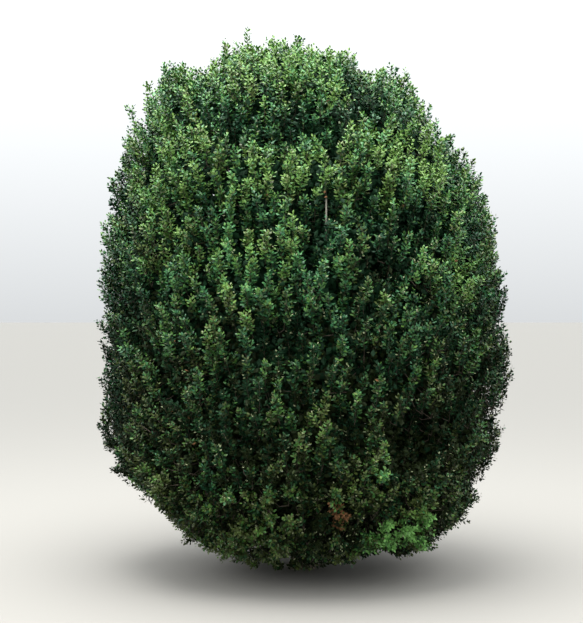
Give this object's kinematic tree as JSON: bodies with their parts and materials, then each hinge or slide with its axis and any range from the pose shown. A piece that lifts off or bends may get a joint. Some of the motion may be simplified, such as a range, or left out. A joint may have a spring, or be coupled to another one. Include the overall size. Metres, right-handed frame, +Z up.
{
  "type": "japanese holly shrub",
  "caption": "Dense upright oval evergreen holly shrub with small glossy leaves, rooted in the ground, foliage down to just above the soil.",
  "frame": {"origin": "middle of the flat cut under the trunk, at ground level", "axes": "+Z up along the trunk, -Y towards the side that the picture shows, +X to its right"},
  "size_m": [2.0609, 2.0595, 2.6869],
  "materials": {
    "bark": "rough grey-brown bark",
    "foliage_top": "small glossy evergreen leaves",
    "foliage_shoulder": "small glossy evergreen leaves",
    "foliage_upper": "small glossy evergreen leaves",
    "foliage_middle": "small glossy evergreen leaves",
    "foliage_skirt": "small glossy evergreen leaves"
  },
  "bodies": {
    "root": {"trunk": "bark", "foliage_top": "foliage_top", "bough_shoulder_1": "bark", "foliage_shoulder_1": "foliage_shoulder", "bough_shoulder_2": "bark", "foliage_shoulder_2": "foliage_shoulder", "bough_shoulder_3": "bark", "foliage_shoulder_3": "foliage_shoulder", "bough_shoulder_4": "bark", "foliage_shoulder_4": "foliage_shoulder", "bough_shoulder_5": "bark", "foliage_shoulder_5": "foliage_shoulder", "bough_upper_1": "bark", "foliage_upper_1": "foliage_upper", "bough_upper_2": "bark", "foliage_upper_2": "foliage_upper", "bough_upper_3": "bark", "foliage_upper_3": "foliage_upper", "bough_upper_4": "bark", "foliage_upper_4": "foliage_upper", "bough_upper_5": "bark", "foliage_upper_5": "foliage_upper", "bough_upper_6": "bark", "foliage_upper_6": "foliage_upper", "bough_middle_1": "bark", "foliage_middle_1": "foliage_middle", "bough_middle_2": "bark", "foliage_middle_2": "foliage_middle", "bough_middle_3": "bark", "foliage_middle_3": "foliage_middle", "bough_middle_4": "bark", "foliage_middle_4": "foliage_middle", "bough_middle_5": "bark", "foliage_middle_5": "foliage_middle", "bough_middle_6": "bark", "foliage_middle_6": "foliage_middle", "bough_middle_7": "bark", "foliage_middle_7": "foliage_middle", "bough_skirt_1": "bark", "foliage_skirt_1": "foliage_skirt", "bough_skirt_2": "bark", "foliage_skirt_2": "foliage_skirt", "bough_skirt_3": "bark", "foliage_skirt_3": "foliage_skirt", "bough_skirt_4": "bark", "foliage_skirt_4": "foliage_skirt", "bough_skirt_5": "bark", "foliage_skirt_5": "foliage_skirt", "bough_skirt_6": "bark", "foliage_skirt_6": "foliage_skirt"}
  },
  "joints": []
}
